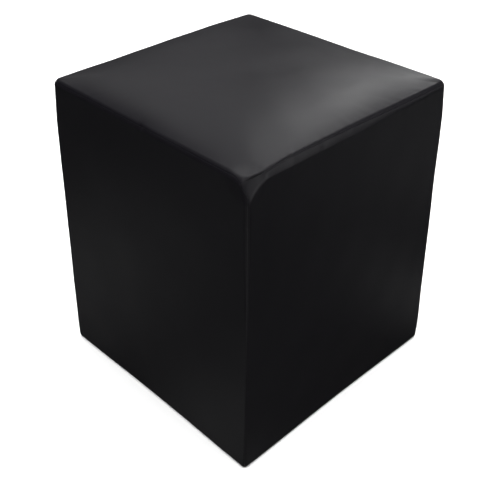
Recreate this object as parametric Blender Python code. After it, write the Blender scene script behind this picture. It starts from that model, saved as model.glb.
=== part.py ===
"""Cube pouf stool: a filled cube seat in a sewn cover of faux leather.

The cover is six panels: a crowned top, four sides whose bottom edges turn under, and a base
cloth between those margins. Together they fill the pouf: each side panel runs back to the
middle of the pouf along the mitres of its corner seams, under the top panel and over the
base cloth.

The outside is one skin, a function of two values:
  course  how far up the section: 0 the underside seam, 1 the bottom round, 2 the foot of the
          wall, 3 the foot of the top roll, 4 the end of the roll, 5 the middle of the top
  ring    how far around the pouf: 0 the front left corner, 1 the front right corner, 2 the
          back right, 3 the back left, 4 the front left again
Front is -Y, right is +X. Units are metres. The origin is the middle of the underside.
"""
import math

import bmesh
import bpy
import numpy as np

# Driving dimensions
BASE_WIDTH = 0.382  # across the foot of the walls
TOP_WIDTH = 0.367  # across the foot of the top roll, where the tight cover draws the pouf in
HEIGHT = 0.450  # floor to the middle of the top
CROWN = 0.007  # how far the middle of the top stands above its rim
CROWN_POWER = 4  # a high power keeps the middle flat and rounds the shoulders
BOTTOM_ROUND = 0.006  # radius where the walls turn under
MARGIN = 0.040  # width of the turned-under margin, from the wall to the underside seam
TIGHTEST_CORNER = 0.006  # radius of the corners inside the outline
SHOULDER = 0.25  # share of the way from the roll to the middle over which the corners fade out
GAP = 0.0003  # between panels that touch
RIM = HEIGHT - CROWN
SHARP_ANGLE = math.radians(40)  # edges bent more than this are shaded sharp

# Each panel dips into its seams, by this depth, over this width
TOP_SEAM_DIP = (0.0012, 0.007)
CORNER_SEAM_DIP = (0.0006, 0.004)
UNDERSIDE_SEAM_DIP = (0.0010, 0.005)

# Inside of the panels
SEAT_DEPTH = 0.028  # from the rim down to the flat back of the top panel
SEAT_INSET = 0.036  # from the wall in to the edge of that flat back
CLOTH_THICKNESS = 0.003  # base cloth with its turned edge
CLOTH_BEVEL = 0.001  # how far its back stands in from its edge

# The vertical corners. Near the top each one is gathered and grows rounder, and the front right
# one is gathered hardest, into a dart whose seam leans to the left. At its foot each one has
# settled a little out of square.
FOOT_RADIUS = 0.006
FOOT_HEIGHT = 0.030  # over which a corner sharpens from its foot
CORNER_RADIUS = 0.0035
SETTLED_HEIGHT = 0.300  # over which a corner comes back to the square
CORNERS = (
    # radius at the rim, height of the gather below the rim, lean as a share of half the corner,
    # settling of the foot to the right, and to the back
    (0.0105, 0.060, 0.0, 0.0005, -0.0016),  # front left
    (0.0160, 0.030, -0.86, 0.0, -0.0024),  # front right
    (0.0105, 0.050, 0.0, -0.0010, 0.0044),  # back right
    (0.0115, 0.050, 0.0, 0.0, 0.0010),  # back left
)

# How far the middle of a side stands out past its corners
SIDE_BOW = (
    # height, bow
    (0.0, -0.0018),
    (0.150, 0.0010),
    (0.330, 0.0016),
    (RIM, 0.0),
)

# The top roll and its seam, around the ring. The top panel was sewn on a little askew: on the
# right side the wall rolls up over the edge, and on the other sides the top rolls down.
TOP_ROLL = (
    # ring, radius of the roll, how far up the roll the seam lies in degrees, rise of the rim
    (0.00, 0.0100, 34.0, 0.0012),
    (0.12, 0.0090, 26.0, 0.0),
    (0.50, 0.0090, 24.0, 0.0),
    (0.84, 0.0095, 17.0, 0.0),
    (0.91, 0.0110, 29.0, 0.0),
    (0.94, 0.0115, 5.0, 0.0),
    (0.98, 0.0120, 23.0, 0.0),
    (1.02, 0.0125, 34.0, 0.0),
    (1.10, 0.0125, 40.0, 0.0),
    (1.20, 0.0120, 52.0, 0.0),
    (1.50, 0.0110, 53.0, 0.0),
    (1.75, 0.0100, 62.0, 0.0),
    (1.94, 0.0095, 72.0, 0.0012),
    (2.06, 0.0095, 36.0, 0.0012),
    (2.50, 0.0090, 28.0, -0.0012),
    (3.00, 0.0095, 34.0, 0.0004),
    (3.32, 0.0090, 28.0, 0.0010),
    (3.80, 0.0090, 28.0, -0.0006),
    (4.00, 0.0100, 34.0, 0.0012),
)

# Columns across a side, as shares of its width: close together round the corner and beside
# its seam, wide apart in the middle. Half a corner takes CORNER_SHARE of half a side.
CORNER_SHARE = 0.14
HALF_COLUMNS = (0.0, 0.015, 0.03, 0.05, 0.07, 0.076, 0.085, 0.105, 0.14, 0.18, 0.23, 0.29, 0.36, 0.43)
COLUMNS = np.array([*HALF_COLUMNS, 0.5, *(1 - place for place in reversed(HALF_COLUMNS))])

# Courses of a side panel up to the top roll, then shares of the way from there to its seam
SIDE_COURSES = (
    *(0.0, 0.06, 0.15, 0.55),  # margin
    *(1.0, 1.33, 1.67),  # bottom round
    *(2.0, 2.05, 2.14, 2.25, 2.36, 2.48, 2.6, 2.7, 2.8, 2.87, 2.92, 2.963, 2.982),  # wall
)
ROLL_SHARES = (0.0, 0.3, 0.6, 0.85, 1.0)
DART_TIP = 2.963  # course from which a leaning seam leaves its corner

SIDE_NAMES = ("side_panel_front", "side_panel_right", "side_panel_back", "side_panel_left")


def column(table, index):
    """One column of a table, as an array."""
    return np.array([row[index] for row in table])


def eased(value, table, index):
    """Read a column of a table at a value: between two rows it runs as 3t^2 - 2t^3."""
    keys = column(table, 0)
    step = np.clip(np.searchsorted(keys, value, side="right") - 1, 0, len(keys) - 2)
    share = np.clip((value - keys[step]) / (keys[step + 1] - keys[step]), 0, 1)
    values = column(table, index)
    return values[step] + share * share * (3 - 2 * share) * (values[step + 1] - values[step])


def around(ring, index):
    """Read a column of TOP_ROLL at a ring place, straight between its rows."""
    return np.interp(ring % 4, column(TOP_ROLL, 0), column(TOP_ROLL, index))


def seam_course(ring):
    """The course of the top seam: the foot of the roll, plus its way up the quarter round."""
    return 3 + around(ring, 2) / 90


def between_corners(ring, index):
    """Read a column of CORNERS at a ring place, straight between the corners."""
    return np.interp(ring, range(5), column((*CORNERS, CORNERS[0]), index))


def leaned(ring, share):
    """Move a ring place sideways by a share of the lean there."""
    return ring + share * between_corners(ring, 2) * CORNER_SHARE / 2


def corner_radius(height, ring):
    """Radius of the nearest corner: it shrinks above the foot and grows through the gather."""
    nearest = np.round(ring).astype(int) % 4
    rim_radius, gather = (column(CORNERS, index)[nearest] for index in (0, 1))
    foot = np.clip(1 - height / FOOT_HEIGHT, 0, 1)
    drawn = np.clip((height - RIM + gather) / gather, 0, 1)
    return CORNER_RADIUS + foot * (FOOT_RADIUS - CORNER_RADIUS) + drawn * (rim_radius - CORNER_RADIUS)


def section(course, roll):
    """Inset from the wall and height: a margin, a quarter round, a wall and a quarter roll,
    added end to end. The shares of the wall and of the way to the middle come back as well."""
    margin, bottom, wall, top, middle = (np.clip(course - start, 0, 1) for start in range(5))
    bottom = bottom * math.pi / 2
    top = top * math.pi / 2
    inset = MARGIN - margin * (MARGIN - BOTTOM_ROUND) - BOTTOM_ROUND * np.sin(bottom)
    height = BOTTOM_ROUND * (1 - np.cos(bottom)) + wall * (RIM - roll - BOTTOM_ROUND)
    return inset + roll * (1 - np.cos(top)), height + roll * np.sin(top), wall, middle


def square_ring(half, radius, bow, ring, corner_share=CORNER_SHARE):
    """A point on a square with round corners. Each half side is a straight run, which bows
    out as (1 - run^2)^2, and then an arc of 45 degrees."""
    side = np.floor(ring)
    place = 2 * (ring - side) - 1
    run = np.clip(np.abs(place) / (1 - corner_share), 0, 1)
    turn = np.clip((np.abs(place) - 1 + corner_share) / corner_share, 0, 1) * math.pi / 4
    along = np.sign(place) * ((half - radius) * run + radius * np.sin(turn))
    out = half - radius * (1 - np.cos(turn)) + bow * (1 - run ** 2) ** 2
    angle = side * math.pi / 2
    return along * np.cos(angle) + out * np.sin(angle), along * np.sin(angle) - out * np.cos(angle)


def skin(course, ring):
    """The outside of the pouf at a course and a ring place, as points of x, y and z."""
    inset, height, wall_share, middle = section(course, around(ring, 1))
    wall = BASE_WIDTH / 2 + (TOP_WIDTH - BASE_WIDTH) / 2 * height / RIM
    half = (wall - inset) * (1 - middle)
    corner = corner_radius(height, ring)
    radius = np.maximum(corner - inset, np.minimum(corner, TIGHTEST_CORNER))
    bow = eased(height, SIDE_BOW, 1) * np.clip(course, 0, 1) * half / wall
    corner_share = CORNER_SHARE * np.clip(1 - middle / SHOULDER, 0.1, 1)
    x, y = square_ring(half, np.minimum(radius, half), bow, ring, corner_share)
    settled = np.clip(course, 0, 1) * np.clip(1 - height / SETTLED_HEIGHT, 0, 1)
    x, y = (way + settled * between_corners(ring, index) for way, index in ((x, 3), (y, 4)))
    shoulders = [np.clip(1 - np.abs(way * 2 / TOP_WIDTH) ** CROWN_POWER, 0, 1) for way in (x, y)]
    crown = CROWN * shoulders[0] * shoulders[1] * (course >= 3)
    rise = around(ring, 3) * wall_share * (1 - middle)
    return np.stack([x, y, height + crown + rise], axis=-1)


def normals(course, ring):
    """Outward direction of the skin: the cross product of its slopes along ring and course."""
    step = 1e-4
    around = skin(course, ring + step) - skin(course, ring - step)
    upward = skin(course + step, ring) - skin(course - step, ring)
    across = np.cross(around, upward)
    return across / np.maximum(np.linalg.norm(across, axis=-1, keepdims=True), 1e-12)


def dip(points, seam, size):
    """Depth of the dip beside a seam: its depth times (1 - distance / width) squared."""
    depth, width = size
    distance = np.linalg.norm(points - seam, axis=-1)
    return depth * np.clip(1 - distance / width, 0, 1) ** 2


def mitre(ring):
    """The direction square to a corner's mitre plane, towards higher ring places."""
    angle = (ring - 0.5) * math.pi / 2
    return np.array([math.cos(angle), math.sin(angle), 0.0])


def parted(points, way):
    """Move points off the joint between top and sides by half the gap: up and inward for the
    top, with way 1, or down and outward for the sides, with way -1."""
    inward = -points[..., :2] / np.linalg.norm(points[..., :2], axis=-1, keepdims=True)
    return points + way * GAP / 2 * np.concatenate([inward, np.ones_like(inward[..., :1])], axis=-1)


def flat_ring(half, height, ring):
    """A level ring of the smallest corner radius, for the joints inside the pouf."""
    x, y = square_ring(half, TIGHTEST_CORNER, 0, ring)
    return np.stack([x, y, np.full_like(x, height)], axis=-1)


def seat_back(ring, way):
    """The edge of the top panel's flat back, or of the sides' flat tops under it."""
    return parted(flat_ring(TOP_WIDTH / 2 - SEAT_INSET, RIM - SEAT_DEPTH, ring), way)


class Solid:
    """The vertices and faces of one closed body."""

    def __init__(self):
        self.points = []
        self.faces = []

    def add(self, points):
        """Add points, and return their numbers in an array of the same layout."""
        first = len(self.points)
        self.points.extend(np.reshape(points, (-1, 3)).tolist())
        return np.arange(first, len(self.points)).reshape(np.shape(points)[:-1])

    def bridge(self, one, other):
        """Two triangles for each step along two rows. Where a row repeats a point, the
        triangle that it makes empty is left out. Panels that meet bridge the same way."""
        for a, b, c, d in zip(one, one[1:], other[1:], other):
            self.faces.extend(face for face in ((a, b, d), (b, c, d)) if len(set(face)) == 3)

    def fan(self, hub, rim):
        """Triangles from one point to each step of a row."""
        self.faces.extend((hub, a, b) for a, b in zip(rim, rim[1:]))

    def build(self, name, material):
        """Make the object, with its faces turned outward."""
        mesh = bpy.data.meshes.new(name)
        mesh.from_pydata(self.points, [], [[int(point) for point in face] for face in self.faces])
        shell = bmesh.new()
        shell.from_mesh(mesh)
        bmesh.ops.recalc_face_normals(shell, faces=shell.faces)
        shell.to_mesh(mesh)
        shell.free()
        mesh.shade_smooth()
        mesh.set_sharp_from_angle(angle=SHARP_ANGLE)
        mesh.materials.append(material)
        piece = bpy.data.objects.new(name, mesh)
        bpy.context.scene.collection.objects.link(piece)
        return piece


def make_material(name, color, roughness):
    """A Principled material without metal."""
    material = bpy.data.materials.new(name)
    material.use_nodes = True
    shader = material.node_tree.nodes["Principled BSDF"]
    shader.inputs["Base Color"].default_value = (*color, 1.0)
    shader.inputs["Roughness"].default_value = roughness
    shader.inputs["Metallic"].default_value = 0.0
    return material


def make_side_panel(side, material):
    """One wall with its margin below and its share of the roll above. Its outside is a grid of
    courses and columns, and mitred walls close it back to the axis of the pouf."""
    courses = np.array(SIDE_COURSES)[:, None] * np.ones(len(COLUMNS))
    ring = (side + COLUMNS) * np.ones((len(courses), 1))
    seam = seam_course(leaned(ring[:1], 1))
    courses = np.concatenate([courses, 3 + np.array(ROLL_SHARES)[:, None] * (seam - 3)])
    ring = (side + COLUMNS) * np.ones((len(courses), 1))
    ring = leaned(ring, np.clip((courses - DART_TIP) / (3 - DART_TIP), 0, 1))

    outside = skin(courses, ring)
    sink = np.max([
        dip(outside, outside[-1:], TOP_SEAM_DIP),
        dip(outside, outside[:, :1], CORNER_SEAM_DIP),
        dip(outside, outside[:, -1:], CORNER_SEAM_DIP),
        dip(outside, outside[:1], UNDERSIDE_SEAM_DIP),
    ], axis=0)
    outside -= sink[..., None] * normals(courses, ring)
    outside[-1] = parted(outside[-1], -1)

    half_base = BASE_WIDTH / 2 - MARGIN
    places = side + COLUMNS
    over_cloth = flat_ring(half_base - CLOTH_BEVEL, CLOTH_THICKNESS + GAP, places)
    under_seat = seat_back(places, -1)
    outward = np.array([math.sin(side * math.pi / 2), -math.cos(side * math.pi / 2), 0.0])
    axis = np.array([outward * GAP / math.sqrt(2)] * 2)
    axis[:, 2] = over_cloth[0, 2], under_seat[0, 2]

    for end, corner in ((0, side), (-1, side + 1)):
        shift = mitre(corner) * GAP / 2 * (1 if end == 0 else -1)
        for points in (outside[:, end], over_cloth[end], under_seat[end]):
            points += shift

    solid = Solid()
    grid = solid.add(outside)
    foot, head = solid.add(over_cloth), solid.add(under_seat)
    axis_foot, axis_head = solid.add(axis)
    for lower, upper in zip(grid, grid[1:]):
        solid.bridge(lower, upper)
    solid.bridge(foot, grid[0])
    solid.bridge(grid[-1], head)
    solid.fan(axis_foot, foot)
    solid.fan(axis_head, head)
    for end in (0, -1):
        low, high = over_cloth[end], under_seat[end]
        levels, level_of = np.unique(np.clip(outside[:, end, 2], low[2], high[2]), return_inverse=True)
        share = (levels[1:-1, None] - low[2]) / (high[2] - low[2])
        inner = np.array([foot[end], *solid.add(low + share * (high - low)), head[end]])
        solid.bridge(grid[:, end], inner[level_of])
        solid.fan(axis_head, [axis_foot, *inner])
    return solid.build(SIDE_NAMES[side], material)


def make_top_panel(material):
    """The seat: a square grid whose lines close up towards its seam. A grid point lies on the
    square ring of its larger coordinate, at its place along that ring's side."""
    across, up = np.meshgrid(2 * COLUMNS - 1, 2 * COLUMNS - 1)
    reach = np.maximum(np.abs(across), np.abs(up))
    sides = [up == -reach, across == reach, up == reach, across == -reach]
    alongs = [across, up, -across, -up]
    place = np.select(sides, alongs) / np.maximum(reach, 1e-9)
    ring = np.select(sides, [0, 1, 2, 3]) + np.clip((place + 1) / 2, 0, 1 - 1e-9)
    roll_share = np.clip((1 - reach) / CORNER_SHARE, 0, 1)
    middle = np.clip(1 - reach / (1 - CORNER_SHARE), 0, 1)
    rim_seam = leaned(ring, 1)
    ring = leaned(ring, np.clip(1 - middle / SHOULDER, 0, 1))
    seam = seam_course(ring)
    course = seam + (4 - seam) * roll_share + middle

    outside = skin(course, ring)
    edge = skin(seam_course(rim_seam), rim_seam)
    outside -= dip(outside, edge, TOP_SEAM_DIP)[..., None] * normals(course, ring)

    solid = Solid()
    rim = [(0, slice(0, -1)), (slice(0, -1), -1), (-1, slice(-1, 0, -1)), (slice(-1, 0, -1), 0)]
    for part in rim:
        outside[part] = parted(outside[part], 1)
    grid = solid.add(outside)
    for lower, upper in zip(grid, grid[1:]):
        solid.bridge(lower, upper)
    edge_row = np.concatenate([grid[part] for part in rim])
    back = solid.add(seat_back(np.concatenate([side + COLUMNS[:-1] for side in range(4)]), 1))
    solid.bridge([*edge_row, edge_row[0]], [*back, back[0]])
    hub = solid.add(np.array([[0, 0, RIM - SEAT_DEPTH + GAP / 2]]))[0]
    solid.fan(hub, [*back, back[0]])
    return solid.build("top_panel", material)


def make_underside_panel(material):
    """The base cloth: a flat plate on the floor, whose edge lifts into its seam."""
    corner = COLUMNS[np.minimum(COLUMNS, 1 - COLUMNS) <= CORNER_SHARE / 2]
    ring = np.concatenate([side + corner[:-1] for side in range(4)])
    half = BASE_WIDTH / 2 - MARGIN - GAP
    depth, width = UNDERSIDE_SEAM_DIP
    solid = Solid()
    rows = [
        solid.add(flat_ring(half - width / 2, 0, ring)),
        solid.add(flat_ring(half, depth, ring)),
        solid.add(flat_ring(half - CLOTH_BEVEL, CLOTH_THICKNESS, ring)),
    ]
    for one, other in zip(rows, rows[1:]):
        solid.bridge([*one, one[0]], [*other, other[0]])
    solid.faces.extend([list(rows[0]), list(rows[-1])])
    return solid.build("underside_panel", material)


def main():
    for thing in list(bpy.data.objects):
        bpy.data.objects.remove(thing)
    faux_leather = make_material("black faux leather", (0.008, 0.008, 0.009), 0.42)
    base_cloth = make_material("black base cloth", (0.012, 0.012, 0.013), 0.9)
    make_top_panel(faux_leather)
    for side in range(4):
        make_side_panel(side, faux_leather)
    make_underside_panel(base_cloth)


main()
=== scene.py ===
# %% [markdown]
# # A cube pouf stool in black faux leather
#
# A cube pouf is a firm filled cube in a sewn cover. The cover is cut as flat panels: a seat,
# four walls whose lower edges turn under, and a base cloth between those edges. Sewing draws
# the panels together and the filling pushes them out again, so every face is a little
# crowned, every edge is a roll of a centimetre or so, and every seam lies in a crease.
#
# The imported frame holds the plain solids at their real size and place. It is loaded first.
# The finished pouf has to fill the same space.

# %% Load the frame
import math

import bpy
import numpy as np
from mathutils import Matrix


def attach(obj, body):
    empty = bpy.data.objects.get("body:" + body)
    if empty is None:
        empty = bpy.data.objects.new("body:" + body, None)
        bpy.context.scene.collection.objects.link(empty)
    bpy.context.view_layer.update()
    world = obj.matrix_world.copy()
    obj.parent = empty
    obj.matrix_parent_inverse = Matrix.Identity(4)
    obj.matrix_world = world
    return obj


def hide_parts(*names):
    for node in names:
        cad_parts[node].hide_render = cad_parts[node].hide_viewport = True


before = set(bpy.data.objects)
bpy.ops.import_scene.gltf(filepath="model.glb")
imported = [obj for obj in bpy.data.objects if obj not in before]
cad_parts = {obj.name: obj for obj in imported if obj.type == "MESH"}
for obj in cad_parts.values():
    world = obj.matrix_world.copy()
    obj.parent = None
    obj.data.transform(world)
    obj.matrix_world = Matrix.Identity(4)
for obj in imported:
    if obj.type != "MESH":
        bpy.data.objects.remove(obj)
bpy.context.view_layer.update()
print("nodes:", sorted(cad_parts))

# %% [markdown]
# ## The sizes
#
# The pouf could be a subdivided cube pushed about by hand. Here it is a formula instead: a
# point of the skin is worked out from two numbers, so a panel is simply a range of those
# numbers, neighbours share their seam exactly, and any detail can be placed by where it is
# on the sewn cover.
#
# - course: how far up the section. 0 is the underside seam, 1 the end of the margin, 2 the
#   foot of the wall, 3 the foot of the top roll, 4 its end and 5 the middle of the seat.
# - ring: how far around. 0 is the front left corner, 1 the front right, 2 the back right,
#   3 the back left and 4 the front left again. Front is -Y and right is +X.

# %% Driving sizes, in metres
BASE_WIDTH = 0.382  # across the foot of the walls
TOP_WIDTH = 0.367  # across the foot of the top roll
HEIGHT = 0.450  # floor to the top of the plain crown, on which the dome stands
CROWN = 0.007  # how far the plain crown stands above the rim
BOTTOM_ROUND = 0.006  # radius where the walls turn under
MARGIN = 0.040  # width of the turned-under margin
TIGHTEST_CORNER = 0.006  # radius of the corners inside the outline
SHOULDER = 0.25  # share of the way from the roll to the middle over which the corners fade out
GAP = 0.0003  # between panels that touch
RIM = HEIGHT - CROWN
HALF_BASE_CLOTH = BASE_WIDTH / 2 - MARGIN
CORNER_SHARE = 0.14  # share of half a side that half a corner takes
SEAT_DEPTH = 0.028  # from the rim down to the flat back of the seat panel
SEAT_INSET = 0.036  # from the foot of the roll in to the edge of that back
CLOTH_THICKNESS, CLOTH_BEVEL = 0.003, 0.001  # base cloth, and how far its back stands in

print(f"pouf: {BASE_WIDTH:.3f} m wide, {HEIGHT:.3f} m high, seat {TOP_WIDTH:.3f} m wide")

# %% [markdown]
# ## Corners, sides and the top seam
#
# No sewn cover is quite even. These tables say how this one differs from a perfect cube: how
# each corner is gathered, how its foot has settled, how the sides bow, and where the top
# seam lies. The seat panel was sewn on askew. On the right the wall rolls up over the edge
# and the seam lies on top of the roll, and on the other sides the seat rolls down. At the
# front right corner that difference is taken up by a dart, whose seam leans to the left.

# %% Tables of the cover
FOOT_RADIUS = 0.006  # of the corners at the floor
FOOT_HEIGHT = 0.030  # over which a corner sharpens from its foot
CORNER_RADIUS = 0.0035  # between the foot and the gather
SETTLED_HEIGHT = 0.300  # over which a corner comes back to the square
CORNERS = (
    # radius at the rim, height of the gather, lean of the seam, settling to the right, to the back
    (0.0105, 0.060, 0.0, 0.0005, -0.0016),  # front left
    (0.0160, 0.030, -0.86, 0.0, -0.0024),  # front right
    (0.0105, 0.050, 0.0, -0.0010, 0.0044),  # back right
    (0.0115, 0.050, 0.0, 0.0, 0.0010),  # back left
)
DART_TIP = 2.973  # course from which a leaning seam leaves its corner
FRONT_RIGHT_EDGE = (
    # height, how much blunter this edge is there than the others
    (0.030, 0.0),
    (0.100, -0.0018),
    (0.200, -0.0012),
    (0.290, 0.0006),
    (0.345, 0.0030),
    (0.400, 0.0030),
    (RIM, 0.0),
)
SIDE_BOW = (
    # height, how far the middle of a side stands out past its corners
    (0.0, -0.0018),
    (0.150, 0.0010),
    (0.330, 0.0016),
    (RIM, 0.0),
)
TOP_ROLL = (
    # ring, radius of the roll, how far up the roll the seam lies in degrees, rise of the rim
    (0.00, 0.0085, 34.0, 0.0004),
    (0.12, 0.0072, 39.0, -0.0024),
    (0.30, 0.0062, 49.0, -0.0037),
    (0.60, 0.0062, 48.0, -0.0038),
    (0.84, 0.0070, 40.0, -0.0042),
    (0.91, 0.0080, 45.0, -0.0034),
    (0.94, 0.0090, 15.0, -0.0038),
    (0.98, 0.0090, 36.0, -0.0036),
    (1.02, 0.0085, 50.0, -0.0035),
    (1.10, 0.0080, 52.0, -0.0028),
    (1.20, 0.0090, 66.0, -0.0018),
    (1.50, 0.0092, 58.0, -0.0018),
    (1.70, 0.0080, 50.0, -0.0026),
    (1.90, 0.0075, 46.0, -0.0020),
    (2.00, 0.0080, 42.0, 0.0006),
    (2.08, 0.0085, 36.0, 0.0010),
    (2.50, 0.0090, 28.0, -0.0012),
    (3.00, 0.0095, 34.0, 0.0004),
    (3.32, 0.0090, 28.0, 0.0010),
    (3.80, 0.0090, 28.0, -0.0006),
    (4.00, 0.0085, 34.0, 0.0004),
)
RISE_SPREAD = np.linspace(-0.08, 0.08, 9)  # ring steps to both sides, for the mean of the rise
RISE_POWER = 4  # how fast the rise dies away towards the middle of the seat


def column(table, index):
    """One column of a table, as an array."""
    return np.array([row[index] for row in table])


def eased(value, table, index):
    """Read a column of a table at a value: between two rows it runs as 3t^2 - 2t^3."""
    keys, values = column(table, 0), column(table, index)
    step = np.clip(np.searchsorted(keys, value, side="right") - 1, 0, len(keys) - 2)
    share = np.clip((value - keys[step]) / (keys[step + 1] - keys[step]), 0, 1)
    return values[step] + share * share * (3 - 2 * share) * (values[step + 1] - values[step])


def around(ring, index):
    """Read a column of TOP_ROLL at a ring place, straight between its rows."""
    return np.interp(ring % 4, column(TOP_ROLL, 0), column(TOP_ROLL, index))


def rim_rise(ring):
    """Rise of the rim at a ring place. It is the mean over a short way round, because a bend
    in it would draw a line across the seat."""
    return np.mean([around(ring + shift, 3) for shift in RISE_SPREAD], axis=0)


def between_corners(ring, index):
    """Read a column of CORNERS at a ring place, straight between the corners."""
    return np.interp(ring, range(5), column((*CORNERS, CORNERS[0]), index))


print("tables:", len(CORNERS), "corners,", len(TOP_ROLL), "places along the top seam")

# %% [markdown]
# ## The section and the ring
#
# Cut the pouf upright and the outline is a chain: the margin under it, a small round, the
# wall, a quarter roll, and then the seat. Cut it level and the outline is a square with
# round corners. The skin is one carried round the other.

# %% Section, ring and skin
CROWN_POWER = 4
LEAST_CORNER = 0.1  # of the corners' share of a side, what is left in the middle of the seat
DOME = 0.006  # how far the filling pushes the middle of the seat up past the plain crown
DOME_HALF = TOP_WIDTH / 2 - 0.001  # from the middle to the foot of the dome
LEFT_DOME, RIGHT_DOME = 2, 3.8  # powers of its fall: a high one is flat, and then steep
FRONT_DOME, BACK_DOME = 10, 3


def section(course, roll):
    """Inset from the wall and height along the chain: a straight margin, a quarter round, a
    straight wall and a quarter roll added end to end. Each link's own share runs from 0 to
    1 as the course passes it. The shares of the wall and of the seat come back as well."""
    margin, bottom, wall, top, middle = (np.clip(course - start, 0, 1) for start in range(5))
    bottom = bottom * math.pi / 2
    top = top * math.pi / 2
    inset = MARGIN - margin * (MARGIN - BOTTOM_ROUND) - BOTTOM_ROUND * np.sin(bottom)
    height = BOTTOM_ROUND * (1 - np.cos(bottom)) + wall * (RIM - roll - BOTTOM_ROUND)
    return inset + roll * (1 - np.cos(top)), height + roll * np.sin(top), wall, middle


def corner_radius(height, ring):
    """Radius of the nearest corner: it shrinks above the foot and grows through the gather,
    and the front right one also changes with height."""
    nearest = np.round(ring).astype(int) % 4
    rim_radius, gather = (column(CORNERS, index)[nearest] for index in (0, 1))
    foot = np.clip(1 - height / FOOT_HEIGHT, 0, 1)
    gathered = np.clip((height - RIM + gather) / gather, 0, 1)
    radius = CORNER_RADIUS + foot * (FOOT_RADIUS - CORNER_RADIUS)
    radius = radius + gathered * (rim_radius - CORNER_RADIUS)
    return radius + eased(height, FRONT_RIGHT_EDGE, 1) * (nearest == 1)


def square_ring(half, radius, bow, ring, corner_share=CORNER_SHARE):
    """A point on a square with round corners. Each half side is a straight run, which bows
    out as (1 - run^2)^2, and then an arc of 45 degrees."""
    side = np.floor(ring)
    place = 2 * (ring - side) - 1
    run = np.clip(np.abs(place) / (1 - corner_share), 0, 1)
    turn = np.clip((np.abs(place) - 1 + corner_share) / corner_share, 0, 1) * math.pi / 4
    along = np.sign(place) * ((half - radius) * run + radius * np.sin(turn))
    out = half - radius * (1 - np.cos(turn)) + bow * (1 - run ** 2) ** 2
    angle = side * math.pi / 2
    return along * np.cos(angle) + out * np.sin(angle), along * np.sin(angle) - out * np.cos(angle)


def shoulder(way, half, low_power, high_power):
    """1 - |t|^power across the seat, where t runs from -1 to 1, with a power for each side."""
    share = way / half
    return np.clip(1 - np.abs(share) ** np.where(share < 0, low_power, high_power), 0, 1)


def seat_rise(x, y):
    """Height over the rim: a crown that is alike on all sides, and a dome that is not. Each
    is its height times a shoulder across times a shoulder from front to back."""
    across, along = (shoulder(way, TOP_WIDTH / 2, CROWN_POWER, CROWN_POWER) for way in (x, y))
    crown = CROWN * across * along
    across = shoulder(x, DOME_HALF, LEFT_DOME, RIGHT_DOME)
    along = shoulder(y, DOME_HALF, FRONT_DOME, BACK_DOME)
    return crown + DOME * across * along


def skin(course, ring):
    """The outside of the pouf at a course and a ring place, as points of x, y and z."""
    inset, height, wall_share, middle = section(course, around(ring, 1))
    wall = BASE_WIDTH / 2 + (TOP_WIDTH - BASE_WIDTH) / 2 * height / RIM
    half = (wall - inset) * (1 - middle)
    corner = corner_radius(height, ring)
    radius = np.maximum(corner - inset, np.minimum(corner, TIGHTEST_CORNER))
    bow = eased(height, SIDE_BOW, 1) * np.clip(course, 0, 1) * half / wall
    corner_share = CORNER_SHARE * np.clip(1 - middle / SHOULDER, LEAST_CORNER, 1)
    x, y = square_ring(half, np.minimum(radius, half), bow, ring, corner_share)
    settled = np.clip(course, 0, 1) * np.clip(1 - height / SETTLED_HEIGHT, 0, 1)
    x, y = (way + settled * between_corners(ring, index) for way, index in ((x, 3), (y, 4)))
    rise = rim_rise(ring) * wall_share * (1 - middle) ** RISE_POWER
    return np.stack([x, y, height + seat_rise(x, y) * (course >= 3) + rise], axis=-1)


def normals(course, ring):
    """Outward direction of the skin: the cross product of its slopes along ring and course."""
    step = 1e-4
    along = skin(course, ring + step) - skin(course, ring - step)
    upward = skin(course + step, ring) - skin(course - step, ring)
    across = np.cross(along, upward)
    return across / np.maximum(np.linalg.norm(across, axis=-1, keepdims=True), 1e-12)


print("middle of the seat:", skin(np.array(5.0), np.array(0.5)).round(4))

# %% [markdown]
# ## The top seam and its puckers
#
# Faux leather doesn't stretch evenly under a needle. Along a curved seam the longer edge is
# eased in, and it puckers: small swells one to two centimetres apart, which die away from
# the seam. The seam itself wavers too. Both are sums of a few sines of unlike lengths, which
# never repeat within a side, so they look sewn and not stamped.

# %% Puckers and the wavering seam
PUCKER_DEPTH = 0.00032  # half the height of the tallest swell
PUCKER_REACH = 0.011  # distance from the seam over which the swells fade
SEAM_WAVER = 2.2  # degrees that the seam strays up and down the roll
WAVER_PHASE = 1.7  # so that the seam doesn't stray just as the swells do
PUCKER_SINES = (
    # waves per side, phase, share
    (19.0, 0.4, 0.40),
    (27.0, 2.1, 0.30),
    (34.0, 4.4, 0.20),
    (11.0, 5.3, 0.35),
)
PUCKERED = (
    # ring, how strongly the seam is puckered there
    (0.0, 0.35),
    (0.90, 0.35),
    (1.06, 0.6),
    (1.20, 1.0),
    (1.90, 0.8),
    (2.10, 0.4),
    (4.0, 0.35),
)


def pucker_strength(ring):
    """How strongly the seam is puckered at a ring place, straight between the rows."""
    return np.interp(ring % 4, column(PUCKERED, 0), column(PUCKERED, 1))


def puckers(ring, shift=0.0):
    """A wavering value of about -1 to 1 along the ring: each sine times its share, added up."""
    waves = sum(share * np.sin(2 * math.pi * count * ring + phase + shift)
                for count, phase, share in PUCKER_SINES)
    return waves * pucker_strength(ring)


def seam_course(ring):
    """Course of the top seam: the foot of the roll, plus the seam's way up the quarter roll,
    which wavers a little everywhere but at the corners, where four panels' ends meet."""
    corner = np.abs(ring - np.round(ring)) / (CORNER_SHARE / 2)
    waver = SEAM_WAVER * puckers(ring, WAVER_PHASE) * np.clip(corner - 1, 0, 1)
    return 3 + (around(ring, 2) + waver) / 90


def leaned(ring, share):
    """Move a ring place sideways by a share of the lean there."""
    return ring + share * between_corners(ring, 2) * CORNER_SHARE / 2


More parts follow.
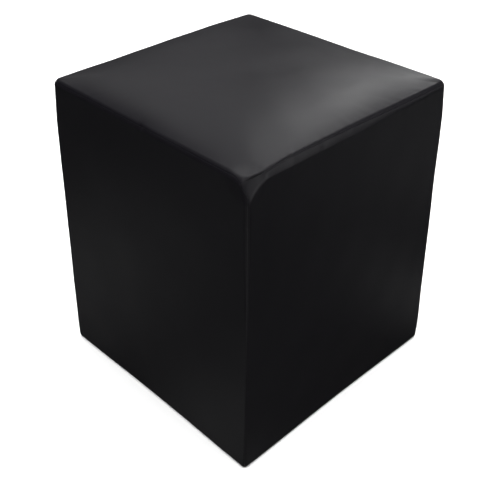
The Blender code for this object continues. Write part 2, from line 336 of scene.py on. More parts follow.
print("seam height at the middle of each side, in courses:",
      seam_course(np.arange(4) + 0.5).round(3))

# %% [markdown]
# ## The pressed band and the drawn corner
#
# On the right the allowance of the seam lies inside the top of the wall and stiffens it. The
# cover there isn't round but a flat band a centimetre wide, with a fold along its foot. At
# the front right corner the band widens into the dart's triangle, and the thread draws the
# corner in and down.

# %% Band and corner
FLATNESS = 0.75  # 0 leaves the band round, 1 makes it flat
DART_END = 1.11  # ring place where the dart's triangle has narrowed to the band
BAND = (
    # ring, course of the fold at the band's foot, share of the flatness
    (0.920, 3.0, 0.0),
    (0.940, 3.0, 0.7),
    (1.00, DART_TIP, 1.0),
    (DART_END, 3.0, 1.0),
    (1.50, 3.0, 1.0),
    (1.80, 3.0, 0.2),
    (1.97, 3.0, 0.0),
)
DRAW = (-0.0035, 0.0035, -0.0034)  # metres that the front right corner is drawn in and down
DRAW_REACH, DRAW_POWER = 0.030, 1.5  # how far from the corner the pull acts, and how it falls
SOFT_EDGE = 0.0006  # over which the shaved triangle's edge is rounded
SHAVED = (
    # ring, share of the cut
    (0.935, 0.0),
    (0.940, 1.0),
    (1.15, 1.0),
    (1.20, 0.0),
)
SHAVED_FROM = (2.92, 2.94)  # courses where the cut begins and where it is full
SHAVED_SEAT = 0.40  # courses above the seam over which the cut fades out


def pressed(points, course, ring):
    """Press the right wall's band flat: between the fold and the seam a point moves most of
    the way to the straight line between them, at its own height."""
    fold = np.interp(ring, column(BAND, 0), column(BAND, 1))
    seam = seam_course(ring)
    share = FLATNESS * np.interp(ring, column(BAND, 0), column(BAND, 2))
    share = share * (course > fold) * (course < seam)
    low, high = skin(fold, ring), skin(seam, ring)
    rise = (points[..., 2] - low[..., 2]) / (high[..., 2] - low[..., 2])
    straight = low + np.clip(rise, 0, 1)[..., None] * (high - low)
    return points + share[..., None] * (straight - points)


def drawn(points):
    """Draw the front right corner in: the pull falls as (1 - distance / reach)^power."""
    corner = skin(seam_course(np.array(1.0)), np.array(1.0))
    distance = np.linalg.norm(points - corner, axis=-1)
    pull = np.clip(1 - distance / DRAW_REACH, 0, 1) ** DRAW_POWER
    return points + pull[..., None] * np.array(DRAW)


def shaved(points, course, ring):
    """Shave the dart's triangle flat: what stands proud of the plane through the seam's corner,
    the tip and the triangle's end moves back to it along the corner's diagonal. The edge is
    soft, (proud + sqrt(proud^2 + soft^2)) / 2, and the cut fades out over the seat."""
    places = ((seam_course(np.array(1.0)), 1.0), (DART_TIP, 1.0), (3.0, DART_END))
    corner, tip, end = (drawn(skin(np.array(up), np.array(along))) for up, along in places)
    plane = np.cross(tip - corner, end - corner)
    diagonal = np.array([1.0, -1.0, 0.0])
    proud = ((points - corner) @ plane) / (diagonal @ plane)
    away = (proud + np.sqrt(proud ** 2 + SOFT_EDGE ** 2)) / 2
    share = np.interp(ring, column(SHAVED, 0), column(SHAVED, 1))
    share = share * np.interp(course, SHAVED_FROM, (0, 1))
    share = share * np.clip(1 - (course - seam_course(ring)) / SHAVED_SEAT, 0, 1)
    return points - (share * away)[..., None] * diagonal


def cover(course, ring):
    """The skin with its pressed band, its drawn corner and its shaved dart."""
    return shaved(drawn(pressed(skin(course, ring), course, ring)), course, ring)


print("fold to seam on the right: %.1f mm" % (1000 * np.linalg.norm(
    cover(np.array(3.0), np.array(1.5)) - cover(seam_course(np.array(1.5)), np.array(1.5)))))

# %% [markdown]
# ## Creases, dents and slow waves
#
# Close to a seam each panel dives into the crease. The walls and the seat are also never
# dead flat: the filling pushes the cover out unevenly, which is too slight to see as shape
# and still breaks up the reflections. A pinch in the middle of the front seam finishes the
# relief. All of it moves points along the skin's normal.

# %% Relief
TOP_CREASE = (0.0006, 0.0020)  # depth and width
CORNER_CREASE = (0.0001, 0.0005)
UNDERSIDE_CREASE = (0.0010, 0.0050)
WAVE_HEIGHT = 0.00014  # typical height of the slow waves
WAVE_LENGTHS = (0.060, 0.160)  # metres from crest to crest
WAVE_COUNT, WAVE_SEED = 14, 11
WAVES_START = 0.020  # height above the floor where the slow waves are at full strength
PINCH = (0.503, 0.0011, 0.0040)  # ring place on the seam, depth and width


def crease(distance, size):
    """Depth of the crease beside a seam: its depth times (1 - distance / width) squared."""
    depth, width = size
    return depth * np.clip(1 - distance / width, 0, 1) ** 2


def slow_waves(points):
    """Gentle unevenness: sine waves cross space in seeded directions. Their sum is divided by
    sqrt(count / 2), so its typical height is the named one, and fades out at the floor."""
    draw = np.random.default_rng(WAVE_SEED)
    directions = draw.normal(size=(WAVE_COUNT, 3))
    directions /= np.linalg.norm(directions, axis=1, keepdims=True)
    lengths = draw.uniform(*WAVE_LENGTHS, WAVE_COUNT)
    phases = draw.uniform(0, 2 * math.pi, WAVE_COUNT)
    waves = np.sin(points @ (directions * 2 * math.pi / lengths[:, None]).T + phases)
    strength = np.clip(points[..., 2] / WAVES_START, 0, 1)
    return WAVE_HEIGHT * waves.sum(axis=-1) / math.sqrt(WAVE_COUNT / 2) * strength


def pinch(points):
    """A round hollow on the seam: its depth times exp(-(distance / width)^2)."""
    ring, depth, width = PINCH
    middle = cover(seam_course(np.array(ring)), np.array(ring))
    distance = np.linalg.norm(points - middle, axis=-1)
    return depth * np.exp(-(distance / width) ** 2)


def relieved(points, course, ring, top_distance, creases):
    """Points of the cover moved along its normal by waves, puckers, the pinch and creases."""
    rise = slow_waves(points) - pinch(points)
    rise += PUCKER_DEPTH * puckers(ring) * np.exp(-top_distance / PUCKER_REACH)
    return points + (rise - np.max(creases, axis=0))[..., None] * normals(course, ring)


print("tallest pucker: %.1f mm" % (1000 * PUCKER_DEPTH * puckers(np.linspace(0, 4, 4000)).max()))

# %% [markdown]
# ## From a grid to a closed piece
#
# A panel with no thickness would show its open edge at every crease. Each one is therefore a
# filled piece, like a slice of the pouf: the outer surface, walls where it meets its
# neighbours, and a back inside. The pieces stay a hair apart at the seams, which is what
# makes a seam read as a thin dark line.

# %% Building meshes
SHARP_ANGLE = math.radians(40)
BORDER = (  # the four sides of a square grid, one after another
    (0, slice(0, -1)),
    (slice(0, -1), -1),
    (-1, slice(-1, 0, -1)),
    (slice(-1, 0, -1), 0),
)


def quads(one, other):
    """Faces between two rows of point numbers, in order."""
    return np.stack([one[:-1], one[1:], other[1:], other[:-1]], axis=-1).reshape(-1, 4).tolist()


def grid_faces(numbers):
    """Faces of a whole grid of point numbers, row by row."""
    return [face for one, other in zip(numbers, numbers[1:]) for face in quads(one, other)]


def fan(hub, rim):
    """Triangles from one point to each step of a row."""
    return [[hub, int(a), int(b)] for a, b in zip(rim, rim[1:])]


def open_edges(faces):
    """How many edges don't lie between exactly two faces. A closed piece has none."""
    pairs = [tuple(sorted((a, b))) for face in faces for a, b in zip(face, [*face[1:], face[0]])]
    return int((np.unique(pairs, axis=0, return_counts=True)[1] != 2).sum())


def make_piece(name, points, faces, material, seam):
    """A mesh object from points and faces, turned outward. seam holds, for each point, how
    far along and how far from its nearest seam it lies, and becomes the UV map."""
    mesh = bpy.data.meshes.new(name)
    mesh.from_pydata(points.tolist(), [], faces)
    corners = np.array([[face[0], a, b] for face in faces for a, b in zip(face[1:], face[2:])])
    a, b, c = (points[corners[:, index]] for index in range(3))
    volume = np.einsum("ij,ij->i", a, np.cross(b, c)).sum() / 6
    if volume < 0:
        mesh.flip_normals()
    loops = np.empty(len(mesh.loops), dtype=np.int32)
    mesh.loops.foreach_get("vertex_index", loops)
    mesh.uv_layers.new(name="seam").data.foreach_set("uv", seam[loops].astype(np.float32).ravel())
    mesh.shade_smooth()
    mesh.set_sharp_from_angle(angle=SHARP_ANGLE)
    mesh.materials.append(material)
    piece = bpy.data.objects.new(name, mesh)
    bpy.context.scene.collection.objects.link(piece)
    print(f"{name}: {len(corners)} triangles, {abs(volume) * 1000:.2f} litres, "
          f"{open_edges(faces)} open edges")
    return piece


def walked(points, axis):
    """Distance walked over a grid of points along one axis, from its first row or column."""
    steps = np.diff(points, axis=axis, prepend=np.take(points, [0], axis))
    return np.cumsum(np.linalg.norm(steps, axis=-1), axis=axis)


def parted(points, way):
    """Move points off the joint between seat and walls by half the gap: up and inward for
    the seat, with way 1, or down and outward for the walls, with way -1."""
    inward = -points[..., :2] / np.linalg.norm(points[..., :2], axis=-1, keepdims=True)
    return points + way * GAP / 2 * np.concatenate([inward, np.ones_like(inward[..., :1])], axis=-1)


def flat_ring(half, height, ring):
    """A level ring of the smallest corner radius, for the joints inside the pouf."""
    x, y = square_ring(half, TIGHTEST_CORNER, 0, ring)
    return np.stack([x, y, np.full_like(x, height)], axis=-1)


def seat_back(ring, way):
    """The edge of the seat's flat back, or of the walls' flat tops under it."""
    return parted(flat_ring(TOP_WIDTH / 2 - SEAT_INSET, RIM - SEAT_DEPTH, ring), way)


# %% [markdown]
# ## Nodes
#
# One helper adds a node with its settings and links. A value given as a socket is linked,
# and any other value is set on the socket itself.

# %% The node helper and colours


def add_node(material, kind, inputs=None, **settings):
    """Add a node to a material, set its options, and set or link its inputs."""
    node = material.node_tree.nodes.new(kind)
    for option, value in settings.items():
        setattr(node, option, value)
    for socket, value in (inputs or {}).items():
        if isinstance(value, bpy.types.NodeSocket):
            material.node_tree.links.new(value, node.inputs[socket])
        else:
            node.inputs[socket].default_value = value
    return node


def to_linear(hex_colour):
    """An sRGB hex colour as linear red, green, blue and alpha."""
    parts = np.array([int(hex_colour[start:start + 2], 16) for start in (1, 3, 5)]) / 255
    linear = np.where(parts <= 0.04045, parts / 12.92, ((parts + 0.055) / 1.055) ** 2.4)
    return (*linear.tolist(), 1.0)


# %% [markdown]
# ## Black faux leather
#
# The cover is a knitted backing with a skin of black plastic, coated on, embossed with a
# grain while warm and finished with a satin lacquer. The eye reads it by its broad soft
# highlight: dark all over, and yet light grey where it mirrors a bright wall. So the colour
# is almost black, the gloss is a plain dielectric of medium roughness, and the grain only
# breaks the highlight up. Real grain is about 1 mm across. That is too fine to show at this
# size, so the pebbles are drawn 1.6 mm wide and shallow.

# %% Faux leather
PEBBLE = 0.0016  # metres across one pebble of the grain
PEBBLE_DEPTH = 0.00004
VALLEY = 0.25  # width of the valleys between the pebbles, as a share of a pebble
FINE_GRAIN, FINE_SHARE = 0.0006, 0.35  # finer grain on the pebbles, and its share of the height
HANDLED = 0.070  # size of the patches that are more or less worn
WORN_COLOUR, FRESH_COLOUR = "#0c0b0e", "#100f13"
WORN_ROUGHNESS, FRESH_ROUGHNESS = 0.35, 0.42
LACQUER_IOR = 1.5
STITCH = 0.0040  # length of a stitch, hidden inside, whose pull shows as a ripple beside the seam
STITCH_DEPTH, STITCH_REACH = 0.00010, 0.0040


def make_faux_leather():
    """Coated knit, embossed and lacquered: near black, satin, with a pebbled grain."""
    material = bpy.data.materials.new("faux_leather_embossed_coated_knit")
    material.use_nodes = True
    tree = material.node_tree
    shader = tree.nodes["Principled BSDF"]
    place = add_node(material, "ShaderNodeTexCoord").outputs["Object"]

    pebbles = add_node(material, "ShaderNodeTexVoronoi",
                       {"Vector": place, "Scale": 1 / PEBBLE}, feature="DISTANCE_TO_EDGE")
    valleys = add_node(material, "ShaderNodeMapRange",
                       {"Value": pebbles.outputs["Distance"], "From Max": VALLEY},
                       interpolation_type="SMOOTHSTEP")
    fine = add_node(material, "ShaderNodeTexNoise",
                    {"Vector": place, "Scale": 1 / FINE_GRAIN, "Detail": 2.0})
    grain = add_node(material, "ShaderNodeMath",
                     {0: fine.outputs["Fac"], 1: FINE_SHARE, 2: valleys.outputs["Result"]},
                     operation="MULTIPLY_ADD")

    seam = add_node(material, "ShaderNodeUVMap", uv_map="seam")
    seam_parts = add_node(material, "ShaderNodeSeparateXYZ", {"Vector": seam.outputs["UV"]})
    turn = add_node(material, "ShaderNodeMath",
                    {0: seam_parts.outputs["X"], 1: 2 * math.pi / STITCH}, operation="MULTIPLY")
    pull = add_node(material, "ShaderNodeMath", {0: turn.outputs[0]}, operation="SINE")
    nearness = add_node(material, "ShaderNodeMapRange",
                        {"Value": seam_parts.outputs["Y"], "From Max": STITCH_REACH,
                         "To Min": STITCH_DEPTH / PEBBLE_DEPTH, "To Max": 0.0},
                        interpolation_type="SMOOTHSTEP")
    height = add_node(material, "ShaderNodeMath",
                      {0: pull.outputs[0], 1: nearness.outputs["Result"], 2: grain.outputs[0]},
                      operation="MULTIPLY_ADD")
    bump = add_node(material, "ShaderNodeBump",
                    {"Height": height.outputs[0], "Distance": PEBBLE_DEPTH, "Strength": 1.0})

    patches = add_node(material, "ShaderNodeTexNoise",
                       {"Vector": place, "Scale": 1 / HANDLED, "Detail": 3.0, "Roughness": 0.55})
    roughness = add_node(material, "ShaderNodeMapRange",
                         {"Value": patches.outputs["Fac"], "From Min": 0.3, "From Max": 0.7,
                          "To Min": WORN_ROUGHNESS, "To Max": FRESH_ROUGHNESS})
    colour = add_node(material, "ShaderNodeMix",
                      {"Factor": patches.outputs["Fac"], "A": to_linear(WORN_COLOUR),
                       "B": to_linear(FRESH_COLOUR)}, data_type="RGBA")
    tree.links.new(colour.outputs["Result"], shader.inputs["Base Color"])
    tree.links.new(roughness.outputs["Result"], shader.inputs["Roughness"])
    tree.links.new(bump.outputs["Normal"], shader.inputs["Normal"])
    shader.inputs["IOR"].default_value = LACQUER_IOR
    return material


faux_leather = make_faux_leather()
print("material:", faux_leather.name)

# %% [markdown]
# ## Base cloth
#
# The underside of such a pouf is closed with black nonwoven cloth: plastic fibres laid at
# random and pressed together through a grid of small hot points. It is matt, slightly fuzzy
# and never shows in use.

# %% Nonwoven cloth
FIBRE, FIBRE_SHARE = 0.0008, 0.6  # width of the fibres, and their share of the relief
PRESSED_POINT = 0.0030  # spacing of the hot points
PRESSED_WIDTH = 0.3  # of a pressed point, as a share of the spacing
CLOTH_RELIEF, CLOTH_ROUGHNESS = 0.0002, 0.9
CLOTH_COLOUR, FIBRE_COLOUR = "#141414", "#222223"


def make_base_cloth():
    """Spunbonded cloth: matt near black, with fibres and a grid of pressed points."""
    material = bpy.data.materials.new("nonwoven_spunbonded_cloth")
    material.use_nodes = True
    tree = material.node_tree
    shader = tree.nodes["Principled BSDF"]
    place = add_node(material, "ShaderNodeTexCoord").outputs["Object"]
    fibres = add_node(material, "ShaderNodeTexNoise",
                      {"Vector": place, "Scale": 1 / FIBRE, "Detail": 4.0, "Distortion": 1.5})
    points = add_node(material, "ShaderNodeTexVoronoi",
                      {"Vector": place, "Scale": 1 / PRESSED_POINT, "Randomness": 0.0},
                      voronoi_dimensions="2D")
    pressed = add_node(material, "ShaderNodeMapRange",
                       {"Value": points.outputs["Distance"], "From Max": PRESSED_WIDTH},
                       interpolation_type="SMOOTHSTEP")
    height = add_node(material, "ShaderNodeMath",
                      {0: fibres.outputs["Fac"], 1: FIBRE_SHARE, 2: pressed.outputs["Result"]},
                      operation="MULTIPLY_ADD")
    bump = add_node(material, "ShaderNodeBump",
                    {"Height": height.outputs[0], "Distance": CLOTH_RELIEF, "Strength": 0.8})
    colour = add_node(material, "ShaderNodeMix",
                      {"Factor": fibres.outputs["Fac"], "A": to_linear(CLOTH_COLOUR),
                       "B": to_linear(FIBRE_COLOUR)}, data_type="RGBA")
    tree.links.new(colour.outputs["Result"], shader.inputs["Base Color"])
    tree.links.new(bump.outputs["Normal"], shader.inputs["Normal"])
    shader.inputs["Roughness"].default_value = CLOTH_ROUGHNESS
    return material


base_cloth = make_base_cloth()
print("material:", base_cloth.name)

# %% [markdown]
# ## Where the points go
#
# The grids are close together where the surface bends, round the corners and beside the
# seams, and wide apart on the flats. Each run below is a stretch of even steps.

# %% Rows and columns
COLUMN_RUNS = (
    # from and to as shares of a side's width, steps
    (0.0, 0.006, 6),
    (0.006, 0.07, 16),
    (0.07, 0.11, 8),
    (0.11, 0.89, 120),
    (0.89, 0.93, 8),
    (0.93, 0.994, 16),
    (0.994, 1.0, 6),
)
COURSE_RUNS = (
    # from and to as courses, steps
    (0.0, 0.15, 8),
    (0.15, 1.0, 8),
    (1.0, 2.0, 10),
    (2.0, 2.86, 110),
    (2.86, 3.0, 34),
)
ROLL_STEPS, ROLL_CLOSING = 20, 1.6  # rows up the roll, and how they close up to the seam


def runs(table):
    """Even steps through each run of a table, end to end."""
    parts = [np.linspace(start, end, steps, endpoint=False) for start, end, steps in table]
    return np.concatenate([*parts, [table[-1][1]]])


COLUMNS = runs(COLUMN_RUNS)
COURSES = runs(COURSE_RUNS)
ROLL_SHARES = 1 - (1 - np.linspace(0, 1, ROLL_STEPS + 1)[1:]) ** ROLL_CLOSING
print(len(COLUMNS), "columns,", len(COURSES) + len(ROLL_SHARES), "rows")

# %% [markdown]
# ## The four walls
#
# Each wall panel starts at the underside seam, turns up round the foot, climbs the wall and
# rolls over to the top seam. It is closed back to a line of points up the middle of the
# pouf, so four of them fill it like the slices of a square cake.

# %% Wall panels
SIDES = ("front", "right", "back", "left")


def wall_grid(side):
    """Courses and ring places of one wall: even rows up to the roll, and then rows that
    close up towards the seam, whose ends lean with it."""
    level = np.ones(len(COLUMNS))
    ring = side + COLUMNS
    seam = seam_course(leaned(ring, 1))
    courses = np.concatenate([COURSES[:, None] * level, 3 + ROLL_SHARES[:, None] * (seam - 3)])
    lean = np.clip((courses - DART_TIP) / (3 - DART_TIP), 0, 1)
    return courses, leaned(ring * np.ones_like(courses), lean)


def make_wall(side, material):
    """One wall panel as a closed slice: its outer grid, two mitred faces and its back."""
    courses, ring = wall_grid(side)
    outside = cover(courses, ring)
    seams = (outside[-1:], outside[:, :1], outside[:, -1:], outside[:1])
    away = np.array([np.linalg.norm(outside - seam, axis=-1) for seam in seams])
    sizes = (TOP_CREASE, CORNER_CREASE, CORNER_CREASE, UNDERSIDE_CREASE)
    creases = [crease(distance, size) for distance, size in zip(away, sizes)]
    creases[0] *= pucker_strength(ring)
    surface = relieved(outside, courses, ring, away[0], creases)
    surface[-1] = parted(surface[-1], -1)

    places = side + COLUMNS
    over_cloth = flat_ring(HALF_BASE_CLOTH - CLOTH_BEVEL, CLOTH_THICKNESS + GAP, places)
    grid = np.concatenate([over_cloth[None], surface, seat_back(places, -1)[None]])
    for end, corner, way in ((0, side, 1), (-1, side + 1, -1)):
        mitre = (corner - 0.5) * math.pi / 2
        grid[:, end] += way * GAP / 2 * np.array([math.cos(mitre), math.sin(mitre), 0])
    outward = np.array([math.sin(side * math.pi / 2), -math.cos(side * math.pi / 2), 0])
    rows, columns = grid.shape[:2]
    levels = np.linspace(grid[0, 0, 2], grid[-1, 0, 2], rows)
    spine = outward * GAP / math.sqrt(2) + levels[:, None] * np.array([0, 0, 1])

    numbers = np.arange(rows * columns).reshape(rows, columns)
    back = rows * columns + np.arange(rows)
    faces = grid_faces(numbers) + quads(back, numbers[:, 0]) + quads(numbers[:, -1], back)
    faces += fan(int(back[0]), numbers[0, ::-1]) + fan(int(back[-1]), numbers[-1])

    nearest = away.argmin(axis=0)
    upright = (nearest == 1) | (nearest == 2)
    along = np.where(upright, walked(surface, 0), walked(surface, 1))
    seam = np.stack([along, away.min(axis=0)], axis=-1)
    seam = np.concatenate([seam[:1], seam, seam[-1:]]).reshape(-1, 2)
    seam = np.concatenate([seam, np.ones((rows, 2))])
    points = np.concatenate([grid.reshape(-1, 3), spine])
    return make_piece(f"{SIDES[side]}_wall", points, faces, material, seam)


walls = [make_wall(side, faux_leather) for side in range(4)]

# %% [markdown]
# ## The seat
#
# The seat panel is a square grid. A point of it lies on the square ring of its larger
# coordinate, so the rings run parallel to the seam and the grid needs no pole in its middle.

# %% Seat panel


def seat_grid():
    """Course and ring place for each point of a square grid: the larger coordinate says how
    far out, the smaller one says where along that side."""
    across, up = np.meshgrid(2 * COLUMNS - 1, 2 * COLUMNS - 1)
    reach = np.maximum(np.abs(across), np.abs(up))
    sides = [up == -reach, across == reach, up == reach, across == -reach]
    place = np.select(sides, [across, up, -across, -up]) / np.maximum(reach, 1e-9)
    ring = np.select(sides, [0, 1, 2, 3]) + np.clip((place + 1) / 2, 0, 1 - 1e-9)
    roll_share = np.clip((1 - reach) / CORNER_SHARE, 0, 1)
    middle = np.clip(1 - reach / (1 - CORNER_SHARE), 0, 1)
    on_seam = leaned(ring, 1)
    ring = leaned(ring, np.clip(1 - middle / SHOULDER, 0, 1))
    seam = seam_course(ring)
    return seam + (4 - seam) * roll_share + middle, ring, on_seam


def make_seat(material):
    """The seat panel as a closed slab: its outer grid, and a flat back under it."""
    courses, ring, on_seam = seat_grid()
    outside = cover(courses, ring)
    away = np.linalg.norm(outside - cover(seam_course(on_seam), on_seam), axis=-1)
    creases = [crease(away, TOP_CREASE) * pucker_strength(ring)]
    surface = relieved(outside, courses, ring, away, creases)
    for part in BORDER:
        surface[part] = parted(surface[part], 1)

    numbers = np.arange(away.size).reshape(away.shape)
    edge = np.concatenate([numbers[part] for part in BORDER])
    back = seat_back(np.concatenate([side + COLUMNS[:-1] for side in range(4)]), 1)
    under = away.size + np.arange(len(back))
    closed_edge, closed_under = (np.append(row, row[0]) for row in (edge, under))
    faces = grid_faces(numbers) + quads(closed_under, closed_edge)
    faces += fan(int(under[-1] + 1), closed_under[::-1])

    hub = np.array([[0, 0, RIM - SEAT_DEPTH + GAP / 2]])
    seam = np.stack([ring * TOP_WIDTH, away], axis=-1).reshape(-1, 2)
    seam = np.concatenate([seam, np.ones((len(back) + 1, 2))])
    points = np.concatenate([surface.reshape(-1, 3), back, hub])
    return make_piece("seat", points, faces, material, seam)


seat = make_seat(faux_leather)

# %% [markdown]
# ## The base cloth piece
#
# The base cloth is stretched flat over the opening of the underside. Its edge lifts into the
# seam with the wall panels' margins, and slight ripples rise from the floor.

# %% Base cloth
CLOTH_STEPS, CLOTH_CLOSING = 96, 1.5  # steps across, and how they close up to the edges
CLOTH_CORNER_POWER = 40  # how sharply its corners turn
RIPPLE_HEIGHT = 0.0004


def make_base(material):
    """A closed thin plate: a square grid below, the same grid above, and a rim between."""
    half = HALF_BASE_CLOTH - GAP
    depth, width = UNDERSIDE_CREASE
    steps = np.linspace(-1, 1, CLOTH_STEPS + 1)
    steps = np.sign(steps) * (1 - (1 - np.abs(steps)) ** CLOTH_CLOSING)
    x, y = (way * half for way in np.meshgrid(steps, steps))
    reach = half - np.maximum(np.abs(x), np.abs(y))
    rounding = TIGHTEST_CORNER * (1 - 1 / math.sqrt(2))
    cut = rounding / half * (np.abs(x * y) / half ** 2) ** CLOTH_CORNER_POWER
    x, y = (way * (1 - cut) for way in (x, y))
    inner = np.clip(reach / width, 0, 1)
    ripples = np.abs(slow_waves(np.stack([x, y, np.ones_like(x)], axis=-1))) / WAVE_HEIGHT
    below = depth * (1 - inner) ** 2 + RIPPLE_HEIGHT * ripples * inner
    above = np.full_like(x, CLOTH_THICKNESS)
    back_share = 1 - CLOTH_BEVEL / half
    points = np.concatenate([
        np.stack([x, y, below], axis=-1).reshape(-1, 3),
        np.stack([x * back_share, y * back_share, above], axis=-1).reshape(-1, 3),
    ])
    lower = np.arange(x.size).reshape(x.shape)
    upper = lower + x.size
    edges = [np.concatenate([sheet[part] for part in BORDER]) for sheet in (lower, upper)]
    faces = grid_faces(lower[:, ::-1]) + grid_faces(upper)
    faces += quads(*(np.append(edge, edge[0]) for edge in edges))
    seam = np.concatenate([np.stack([x, reach], axis=-1).reshape(-1, 2)] * 2)
    return make_piece("base_cloth", points, faces, material, seam)


base = make_base(base_cloth)

# %% [markdown]
# ## Riding on the frame
#
# Every piece takes the place of one solid, which is hidden, and rides on the pouf's one body.

# %% Put the pieces on the body and hide their solids
for piece, node, finish in (
    (seat, "top_panel", "faux_leather"),
    *((wall, f"side_panel_{side}", "faux_leather") for wall, side in zip(walls, SIDES)),
    (base, "underside_panel", "base_cloth"),
):
    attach(piece, "root")
    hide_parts(node)

# %% [markdown]
# ## The floor
#
# The pouf stands on a pale floor in a plain studio. Black faux leather hardly scatters any
# light, so it shows what it mirrors, and its walls mirror the floor. A pale floor would turn
# them grey. This one is therefore pale to the eye but nearly black in reflections, with a
# few soft pools of light round the pouf.

# %% Floor
FLOOR_SIZE = 5.0  # metres
FLOOR_COLOUR, FLOOR_ROUGHNESS = "#f4f4f4", 0.9
FLOOR_LIGHT = 0.03  # mirrored brightness of the bare floor
POOLS = (
    # place, radius, mirrored brightness in the middle
    ((-0.36, -0.34, 0.0), 0.42, 0.10),
    ((0.12, -0.26, 0.0), 0.22, 0.09),
    ((0.60, -0.60, 0.0), 0.45, 0.50),
    ((0.26, 0.30, 0.0), 0.16, 0.11),
    ((0.65, 0.90, 0.0), 0.65, 0.14),
    ((-0.18, 0.60, 0.0), 0.36, 0.16),
    ((-0.62, 0.28, 0.0), 0.42, 0.20),
)


def make_floor():
    """A large matt floor. In reflections it is nearly black but for its pools of light."""
    mesh = bpy.data.meshes.new("floor")
    half = FLOOR_SIZE / 2
    mesh.from_pydata([(-half, -half, 0), (half, -half, 0), (half, half, 0), (-half, half, 0)],
                     [], [(0, 1, 2, 3)])
    material = bpy.data.materials.new("painted_studio_floor")
    material.use_nodes = True
    tree = material.node_tree
    shader = tree.nodes["Principled BSDF"]
    shader.inputs["Base Color"].default_value = to_linear(FLOOR_COLOUR)
    shader.inputs["Roughness"].default_value = FLOOR_ROUGHNESS
    shader.inputs["Specular IOR Level"].default_value = 0.0
    place = add_node(material, "ShaderNodeTexCoord").outputs["Object"]
    strength = FLOOR_LIGHT
    for centre, radius, brightness in POOLS:
        away = add_node(material, "ShaderNodeVectorMath", {0: place, 1: centre},
                        operation="DISTANCE")
        pool = add_node(material, "ShaderNodeMapRange",
                        {"Value": away.outputs["Value"], "From Max": radius,
                         "To Min": brightness, "To Max": 0.0}, interpolation_type="SMOOTHSTEP")
        strength = add_node(material, "ShaderNodeMath",
                            {0: pool.outputs["Result"], 1: strength}, operation="ADD").outputs[0]
    glow = add_node(material, "ShaderNodeEmission", {"Strength": strength})
    paths = add_node(material, "ShaderNodeLightPath")
    mix = add_node(material, "ShaderNodeMixShader", {"Fac": paths.outputs["Is Glossy Ray"],
                                                     1: shader.outputs[0], 2: glow.outputs[0]})
    tree.links.new(mix.outputs[0], tree.nodes["Material Output"].inputs["Surface"])
    mesh.materials.append(material)
    floor = bpy.data.objects.new("floor", mesh)
    bpy.context.scene.collection.objects.link(floor)
    return floor


floor = make_floor()
print("floor:", FLOOR_SIZE, "m across, with", len(POOLS), "pools of light")

# %% [markdown]
# ## The lights
#
# A wide light overhead keeps the floor pale, and is hidden from reflections. The cover
# mirrors the other soft boxes, which stand round the room and above it. Two small ones behind
# draw the highlight along the right of the seat, and the rest are broader and fainter. One
# large light would be simpler, but its mirror image would cover the seat evenly and hide its
# shape.

# %% Lights
SEAT_CENTRE = (0.0, 0.0, HEIGHT)
SOFT_BOXES = (
    # name, azimuth and elevation in degrees, distance, width and height, watts, mirrored
    ("overhead", 0.0, 90.0, 2.75, (5.0, 5.0), 330.0, False),
    ("above", 0.0, 88.0, 3.0, (2.0, 2.0), 27.0, True),
    ("behind_low", 21.5, 21.0, 3.0, (0.5, 0.7), 5.7, True),
    ("behind", 29.0, 35.0, 3.0, (0.5, 0.8), 6.4, True),
    ("behind_high", 30.0, 50.0, 3.0, (1.2, 1.2), 1.5, True),
    ("behind_left", 60.0, 32.0, 3.0, (1.4, 2.0), 3.8, True),
    ("left_high", 75.0, 50.0, 3.0, (1.2, 1.2), 1.7, True),
    ("right", -82.0, 14.0, 3.0, (1.4, 1.0), 7.0, True),
    ("right_behind", -55.0, 22.0, 3.0, (1.2, 1.2), 5.0, True),
    ("front_right", -135.0, 42.0, 3.0, (1.4, 2.0), 4.5, True),
)


def add_soft_box(name, azimuth, elevation, distance, size, power, mirrored):
    """A rectangular light on a sphere about the seat, facing it. Azimuth 0 is behind (+Y) and
    grows anticlockwise, seen from above."""
    data = bpy.data.lights.new(name, "AREA")
    data.shape = "RECTANGLE"
    data.size, data.size_y = size
    data.energy = power
    light = bpy.data.objects.new(name, data)
    pan, rise = math.radians(azimuth), math.radians(elevation)
    way = np.array([-math.sin(pan) * math.cos(rise), math.cos(pan) * math.cos(rise),
                    math.sin(rise)])
    light.location = np.array(SEAT_CENTRE) + distance * way
    light.rotation_euler = (rise - math.pi / 2, 0, pan)
    light.visible_camera = False
    light.visible_glossy = mirrored
    bpy.context.scene.collection.objects.link(light)
    return light


lights = [add_soft_box(*row) for row in SOFT_BOXES]
print("soft boxes:", [light.name for light in lights])

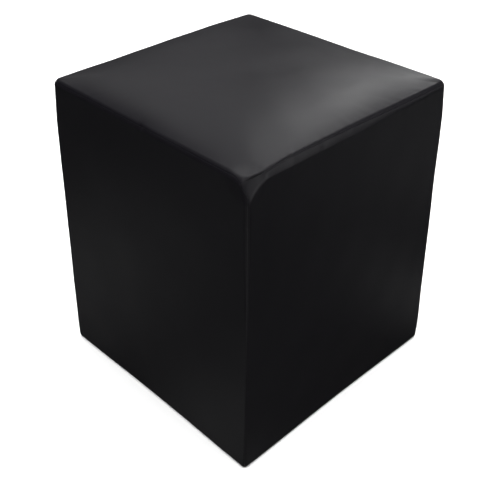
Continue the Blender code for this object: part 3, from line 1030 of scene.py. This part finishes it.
# %% [markdown]
# ## The room
#
# The world behind the floor's edge is white to the camera, so that floor and backdrop run
# into each other. In reflections it is nearly black, as the bare floor is.

# %% Room
ROOM_LIGHT = 0.02  # what the pouf mirrors of the room
BACKDROP_LIGHT = 1.0  # what the camera sees past the floor

world = bpy.data.worlds.new("studio")
bpy.context.scene.world = world
world.use_nodes = True
room = world.node_tree.nodes["Background"]
room.inputs["Color"].default_value = to_linear("#ffffff")
room.inputs["Strength"].default_value = ROOM_LIGHT
backdrop = add_node(world, "ShaderNodeBackground",
                    {"Color": to_linear("#ffffff"), "Strength": BACKDROP_LIGHT})
paths = add_node(world, "ShaderNodeLightPath")
mix = add_node(world, "ShaderNodeMixShader", {"Fac": paths.outputs["Is Camera Ray"],
                                              1: room.outputs[0], 2: backdrop.outputs[0]})
world.node_tree.links.new(mix.outputs[0], world.node_tree.nodes["World Output"].inputs["Surface"])
bpy.context.scene.view_settings.view_transform = "Standard"
print("room:", ROOM_LIGHT, "in reflections,", BACKDROP_LIGHT, "to the camera")

# %% [markdown]
# ## The camera
#
# The camera stands a little over a metre away and looks down at the front right corner. Its
# distance sets how fast the upright edges run together towards the floor, and the lens then
# only sets how large the pouf appears.

# %% Camera
AIM = (0.0044, -0.0204, 0.1997)  # what it looks at, near the middle of the pouf
AZIMUTH, ELEVATION = math.radians(45.78), math.radians(34.57)
DISTANCE = 1.2074
LENS = 62.17  # millimetres, on a sensor 36 mm wide


def make_camera():
    """A camera on a sphere about its aim: azimuth 0 looks along +Y."""
    data = bpy.data.cameras.new("camera")
    data.lens = LENS
    data.sensor_width = 36.0
    camera = bpy.data.objects.new("camera", data)
    back = np.array([math.sin(AZIMUTH) * math.cos(ELEVATION),
                     -math.cos(AZIMUTH) * math.cos(ELEVATION), math.sin(ELEVATION)])
    camera.location = np.array(AIM) + DISTANCE * back
    camera.rotation_euler = (math.pi / 2 - ELEVATION, 0, AZIMUTH)
    bpy.context.scene.collection.objects.link(camera)
    bpy.context.scene.camera = camera
    return camera


camera = make_camera()
print("camera at", [round(value, 3) for value in camera.location])
